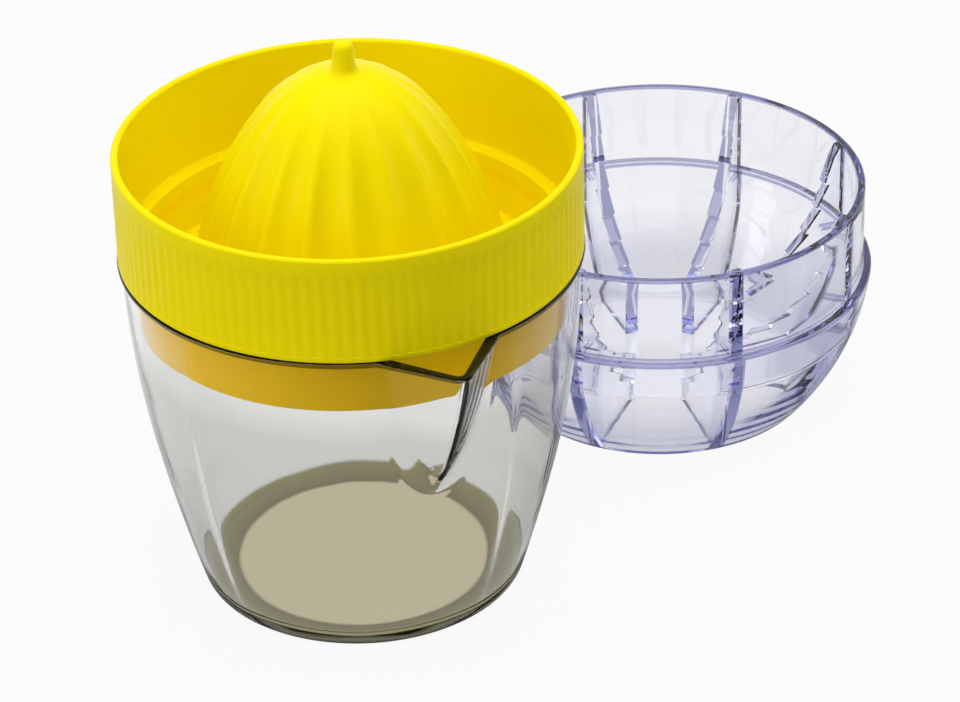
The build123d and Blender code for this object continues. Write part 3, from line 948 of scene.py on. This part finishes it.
def lid_painted_shade(tree, coords, finish, middle, form):
    """Painted shade on the lid's surface: the wall painted greyer towards the crown, and dark violet lines
    at rim, shoulder and fin roots where the clear edges look dark.

    The fins' own sides and edges are clear: only points outside a cone through the crown belong to the wall.
    """
    s = form.s
    own = add_node(tree, "ShaderNodeVectorMath", {0: coords, 1: middle}, operation="SUBTRACT")
    place, radius = upright(tree, own)
    height = place["Z"]
    bearing = add_node(tree, "ShaderNodeMath", {0: place["Y"], 1: place["X"]}, operation="ARCTAN2")
    half = math.pi / s.fins
    from_fin = (
        ("SUBTRACT", {1: s.turn}),
        ("WRAP", {1: half, 2: -half}),
        ("SINE", {}),
        ("MULTIPLY", {1: radius}),
        ("ABSOLUTE", {}),
    )
    distance = bearing
    for operation, values in from_fin:
        distance = add_node(tree, "ShaderNodeMath", {0: distance} | values, operation=operation)
    cone = add_node(tree, "ShaderNodeMath", {0: height, 1: -CONE_LEAN, 2: radius}, operation="MULTIPLY_ADD")
    line, grey = finish.painted_edge_lines, finish.lid_grey
    low, high = form.shoulder_height - SHOULDER_LINE[0], form.shoulder_height + SHOULDER_LINE[1]
    rim = form.height - RIM_LINE
    steps = (
        (height, *CROWN_FADE, grey),
        (height, low, low + LINE_FADE, line),
        (height, high, high + LINE_FADE, grey),
        (height, rim, rim + LINE_FADE, line),
    )
    plain = graded(tree, finish.painted_crown_shade, steps)
    edge, foot = s.fin_width / 2 - FIN_EDGE, s.crown_radius - CONE_INSET
    wall = graded(tree, finish.painted_fin_band, ((distance, edge, edge + LINE_FADE, plain),))
    return graded(tree, CLEAR, ((cone, foot, foot + CONE_FADE, wall),))


def clear_moulding(name, ripple_size, ior, look, tone):
    """Clear moulded plastic: polished, faintly rippled where it cooled, most tinted where seen edge-on.

    Its look is its tint, density, gloss and shade, and its colour, with its painted shade, comes from
    tone(tree, coords). Lamps shine through it with a little loss, so that what stands behind and inside it
    is lit.
    """
    tint, density, gloss, shade = look
    material, tree = new_material(name)
    coords = add_node(tree, "ShaderNodeTexCoord", out="Object")
    waves = {"Vector": coords, "Scale": 1 / ripple_size, "Detail": 1.0}
    ripple = add_node(tree, "ShaderNodeTexNoise", waves)
    bump = add_node(tree, "ShaderNodeBump", {"Height": ripple, "Strength": 0.5, "Distance": 0.15 * MM})
    body = add_node(
        tree,
        "ShaderNodeBsdfPrincipled",
        {
            "Base Color": tone(tree, coords),
            "Roughness": 0.02,
            "IOR": ior,
            "Specular Tint": (gloss, gloss, gloss, 1),
            "Transmission Weight": 1.0,
            "Normal": bump,
        },
    )
    lamp_through = add_node(tree, "ShaderNodeBsdfTransparent", {"Color": shade})
    shadow = add_node(tree, "ShaderNodeLightPath", out="Is Shadow Ray")
    surface = add_node(tree, "ShaderNodeMixShader", {0: shadow, 1: body, 2: lamp_through})
    depth = add_node(tree, "ShaderNodeVolumeAbsorption", {"Color": tint, "Density": density})
    add_node(tree, "ShaderNodeOutputMaterial", {"Surface": surface, "Volume": depth}, None)
    return material


def seen(tree, by_camera, in_glass):
    """One value where the camera looks, another where it looks by way of gloss and glass, else 0.

    Light that reaches a matt surface is 0, also where it comes by way of glass.
    """
    path = add_node(tree, "ShaderNodeLightPath", out=None)
    rays = {0: path["Is Glossy Ray"], 1: path["Is Transmission Ray"]}
    glass = add_node(tree, "ShaderNodeMath", rays, operation="MAXIMUM")
    matt = path["Diffuse Depth"]
    looked = add_node(tree, "ShaderNodeMath", {0: glass, 1: matt}, operation="SUBTRACT", use_clamp=True)
    through = add_node(tree, "ShaderNodeMath", {0: looked, 1: in_glass}, operation="MULTIPLY")
    straight = {0: path["Is Camera Ray"], 1: by_camera, 2: through}
    return add_node(tree, "ShaderNodeMath", straight, operation="MULTIPLY_ADD")


def mirrored(tree):
    """1 where something is looked at in a mirroring surface, 0 elsewhere."""
    path = add_node(tree, "ShaderNodeLightPath", out=None)
    rays = {0: path["Is Glossy Ray"], 1: path["Is Transmission Ray"]}
    return add_node(tree, "ShaderNodeMath", rays, operation="SUBTRACT", use_clamp=True)


def paper_floor(finish, stage):
    """Matt pale paper: keeps the shadow, and is lifted towards the white background where it is looked at.

    Mirrored in the clear plastic it is dim except far behind, so that it draws no veil over what is inside.
    """
    material, tree = new_material("Matt pale paper")
    coords = add_node(tree, "ShaderNodeTexCoord", out="Object")
    along = add_node(tree, "ShaderNodeSeparateXYZ", {"Vector": coords}, "Y")
    behind = {"Value": along, "From Min": 0.0, "From Max": DIM_FLOOR}
    lost = add_node(tree, "ShaderNodeMapRange", behind | {"To Min": 1 - stage.front, "To Max": 0.0})
    dimmed = add_node(tree, "ShaderNodeMath", {0: mirrored(tree), 1: lost}, operation="MULTIPLY")
    glow = stage.glass_glow
    kept = add_node(tree, "ShaderNodeMath", {0: dimmed, 1: -glow, 2: glow}, operation="MULTIPLY_ADD")
    lift = seen(tree, stage.floor_glow, kept)
    tone = graded(tree, finish.paper, ((dimmed, 0, 1, BLACK),))
    matt = add_node(tree, "ShaderNodeBsdfDiffuse", {"Color": tone})
    white = add_node(tree, "ShaderNodeEmission", {"Strength": stage.backdrop})
    surface = add_node(tree, "ShaderNodeMixShader", {0: lift, 1: matt, 2: white})
    add_node(tree, "ShaderNodeOutputMaterial", {"Surface": surface}, None)
    return material


def studio_world(stage):
    """White background with a dim ceiling where it is looked at, soft light from all round elsewhere."""
    world = bpy.data.worlds.new("White studio")
    world.use_nodes = True
    tree = world.node_tree
    tree.nodes.clear()
    direction = add_node(tree, "ShaderNodeTexCoord", out="Generated")
    towards = add_node(tree, "ShaderNodeSeparateXYZ", {"Vector": direction}, None)
    rise = {"Value": towards["Z"], "From Min": CEILING_RISE[0], "From Max": CEILING_RISE[1]}
    bright = {"To Min": stage.backdrop, "To Max": stage.ceiling}
    upper = add_node(tree, "ShaderNodeMapRange", rise | bright)
    side = {"Value": towards["Y"], "From Min": -DIM_FRONT, "From Max": 0.0}
    lost = add_node(tree, "ShaderNodeMapRange", side | {"To Min": stage.front - 1, "To Max": 0.0})
    kept = add_node(tree, "ShaderNodeMath", {0: mirrored(tree), 1: lost, 2: 1.0}, operation="MULTIPLY_ADD")
    above = {0: upper, 1: kept, 2: -stage.ambient}
    room = add_node(tree, "ShaderNodeMath", above, operation="MULTIPLY_ADD")
    lift = seen(tree, stage.backdrop - stage.ambient, room)
    strength = add_node(tree, "ShaderNodeMath", {0: lift, 1: stage.ambient}, operation="ADD")
    glow = add_node(tree, "ShaderNodeBackground", {"Color": WHITE, "Strength": strength})
    add_node(tree, "ShaderNodeOutputWorld", {"Surface": glow}, None)
    bpy.context.scene.world = world


def softbox(name, place, width, power, aim):
    """Square area lamp at a place, turned towards a point."""
    deselect()
    bpy.ops.object.light_add(type="AREA", location=place)
    lamp = bpy.context.object
    lamp.name = lamp.data.name = name
    lamp.data.size = width
    lamp.data.energy = power
    lamp.rotation_euler = (Vector(aim) - Vector(place)).to_track_quat("-Z", "Y").to_euler()


class SQUEEZER_OT_add_jug(bpy.types.Operator):
    """Adds the clear jug with its eight panels, beaded rim and pouring lip"""

    bl_idname = "squeezer.add_jug"
    bl_label = "Jug"
    bl_options = {"REGISTER", "UNDO"}

    def execute(self, context):
        finish = context.scene.squeezer_finishes
        form = JugForm(context.scene.squeezer_jug)
        jug = turned("Jug", form, form.s.columns)
        close()
        material = clear_moulding(
            "Clear moulded acrylic",
            finish.ripple,
            ACRYLIC_IOR,
            (finish.jug_tint, finish.jug_density, finish.jug_gloss, finish.jug_shade),
            lambda tree, coords: jug_painted_shade(tree, coords, finish),
        )
        finish_piece(jug, material, "jug", "jug")
        return {"FINISHED"}


class SQUEEZER_OT_add_tray(bpy.types.Operator):
    """Adds the yellow tray: ribbed collar, plug, slotted strainer and fluted reamer dome"""

    bl_idname = "squeezer.add_tray"
    bl_label = "Reamer tray"
    bl_options = {"REGISTER", "UNDO"}

    def execute(self, context):
        form = TrayForm(context.scene.squeezer_tray)
        tray = turned("ReamerTray", form, form.s.columns)
        cut_slots(tray, form)
        material = yellow_polypropylene(context.scene.squeezer_finishes, form.s.seat, form.s.plug_low_radius)
        finish_piece(tray, material, "tray", "reamer_tray")
        return {"FINISHED"}


class SQUEEZER_OT_add_lid(bpy.types.Operator):
    """Adds the clear press lid with its toothed fins, upside down beside the jug"""

    bl_idname = "squeezer.add_lid"
    bl_label = "Press lid"
    bl_options = {"REGISTER", "UNDO"}

    def execute(self, context):
        finish = context.scene.squeezer_finishes
        form = LidForm(context.scene.squeezer_lid)
        lid = turned("PressLid", form, form.s.columns * form.s.fins)
        close()
        middle = (LID_BOX[0] + LID_BOX[1]) / 2
        lid_place = (middle.x, middle.y, 0)
        lid.location = lid_place
        lid.rotation_euler = (0, 0, math.pi / 2 + form.s.turn)
        pick(lid)
        bpy.ops.object.transform_apply(location=True, rotation=True, scale=True)
        material = clear_moulding(
            "Clear violet-tinted polycarbonate",
            finish.ripple,
            POLYCARBONATE_IOR,
            (finish.lid_tint, finish.lid_density, finish.lid_gloss, finish.lid_shade),
            lambda tree, coords: lid_painted_shade(tree, coords, finish, lid_place, form),
        )
        finish_piece(lid, material, "lid", "press_lid")
        return {"FINISHED"}


class SQUEEZER_OT_add_stage(bpy.types.Operator):
    """Adds the pale floor, the white background, the lamps and the camera"""

    bl_idname = "squeezer.add_stage"
    bl_label = "Stage"
    bl_options = {"REGISTER", "UNDO"}

    def execute(self, context):
        scene = context.scene
        stage = scene.squeezer_stage
        deselect()
        bpy.ops.mesh.primitive_plane_add(size=FLOOR_SIZE, location=(0, 0, -FLOOR_GAP))
        floor = context.object
        floor.name = floor.data.name = "PaperFloor"
        floor.data.materials.append(paper_floor(scene.squeezer_finishes, stage))
        studio_world(stage)
        aim = (CAD_BOX[0] + CAD_BOX[1]) / 2
        for lamp in LAMPS:
            softbox(*lamp, aim)
        ahead, down = math.cos(stage.pitch), math.sin(stage.pitch)
        look = Vector((math.sin(stage.heading) * ahead, math.cos(stage.heading) * ahead, -down))
        bpy.ops.object.camera_add(location=(stage.camera_x, stage.camera_y, stage.camera_z))
        camera = context.object
        camera.name = camera.data.name = "Camera"
        camera.rotation_mode = "QUATERNION"
        camera.rotation_quaternion = look.to_track_quat("-Z", "Y") @ Quaternion((0, 0, 1), stage.roll)
        camera.data.lens = stage.lens
        camera.data.sensor_width = 36
        camera.data.dof.use_dof = False
        scene.camera = camera
        scene.view_settings.view_transform = "Standard"
        scene.cycles.max_bounces = 32
        scene.cycles.transmission_bounces = 28
        scene.cycles.glossy_bounces = 16
        scene.cycles.transparent_max_bounces = 32
        return {"FINISHED"}


class SQUEEZER_PT_panel(bpy.types.Panel):
    """Lists the pieces and the stage"""

    bl_label = "Citrus squeezer"
    bl_idname = "SQUEEZER_PT_panel"
    bl_space_type = "VIEW_3D"
    bl_region_type = "UI"
    bl_category = "Squeezer"

    def draw(self, context):
        for operator in OPERATORS:
            self.layout.operator(operator.bl_idname)


SETTINGS = {
    "squeezer_jug": JugSizes,
    "squeezer_tray": TraySizes,
    "squeezer_lid": LidSizes,
    "squeezer_finishes": Finishes,
    "squeezer_stage": StageSettings,
}
OPERATORS = (SQUEEZER_OT_add_jug, SQUEEZER_OT_add_tray, SQUEEZER_OT_add_lid, SQUEEZER_OT_add_stage)
CLASSES = (*SETTINGS.values(), *OPERATORS, SQUEEZER_PT_panel)


def register():
    """Registers the classes and hangs the settings on the scene."""
    for cls in CLASSES:
        bpy.utils.register_class(cls)
    for name, cls in SETTINGS.items():
        setattr(bpy.types.Scene, name, bpy.props.PointerProperty(type=cls))


def unregister():
    """Takes the settings off the scene and unregisters the classes."""
    for name in SETTINGS:
        delattr(bpy.types.Scene, name)
    for cls in reversed(CLASSES):
        bpy.utils.unregister_class(cls)


def main():
    """Builds the pieces and the stage in order."""
    register()
    bpy.ops.squeezer.add_jug()
    bpy.ops.squeezer.add_tray()
    bpy.ops.squeezer.add_lid()
    bpy.ops.squeezer.add_stage()


if __name__ == "__main__":
    main()
